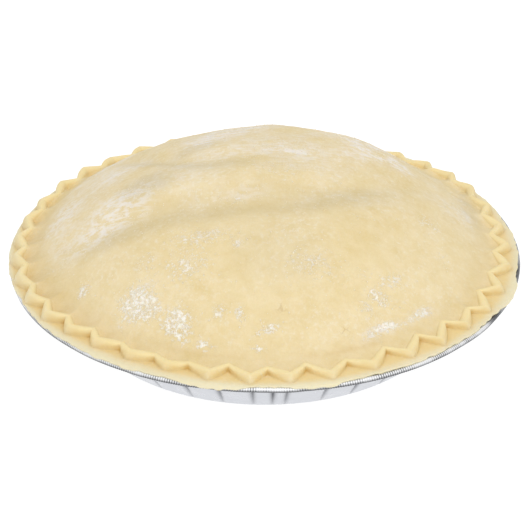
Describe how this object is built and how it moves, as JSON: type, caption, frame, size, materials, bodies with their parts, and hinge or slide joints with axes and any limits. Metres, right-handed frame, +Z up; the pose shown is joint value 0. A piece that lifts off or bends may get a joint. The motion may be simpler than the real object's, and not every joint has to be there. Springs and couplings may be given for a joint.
{
  "type": "unbaked fruit pie in a foil tin",
  "caption": "Round unbaked fruit pie with a domed closed lid, a zigzag crimped edge and a dusting of flour, in its own pleated foil tin with a rolled rim.",
  "frame": {"origin": "middle of the tin's flat base, on the surface that it stands on", "axes": "+Z up through the middle of the pie, front towards -Y, +X to the right seen from the front"},
  "size_m": [0.2444, 0.2444, 0.0775],
  "materials": {
    "foil": "bright rolled foil, pleated, with a knurled bead",
    "dough": "raw shortcrust, matt and soft, dusted with flour"
  },
  "bodies": {
    "root": {"foil_tin": "foil", "pie": "dough"}
  },
  "joints": []
}
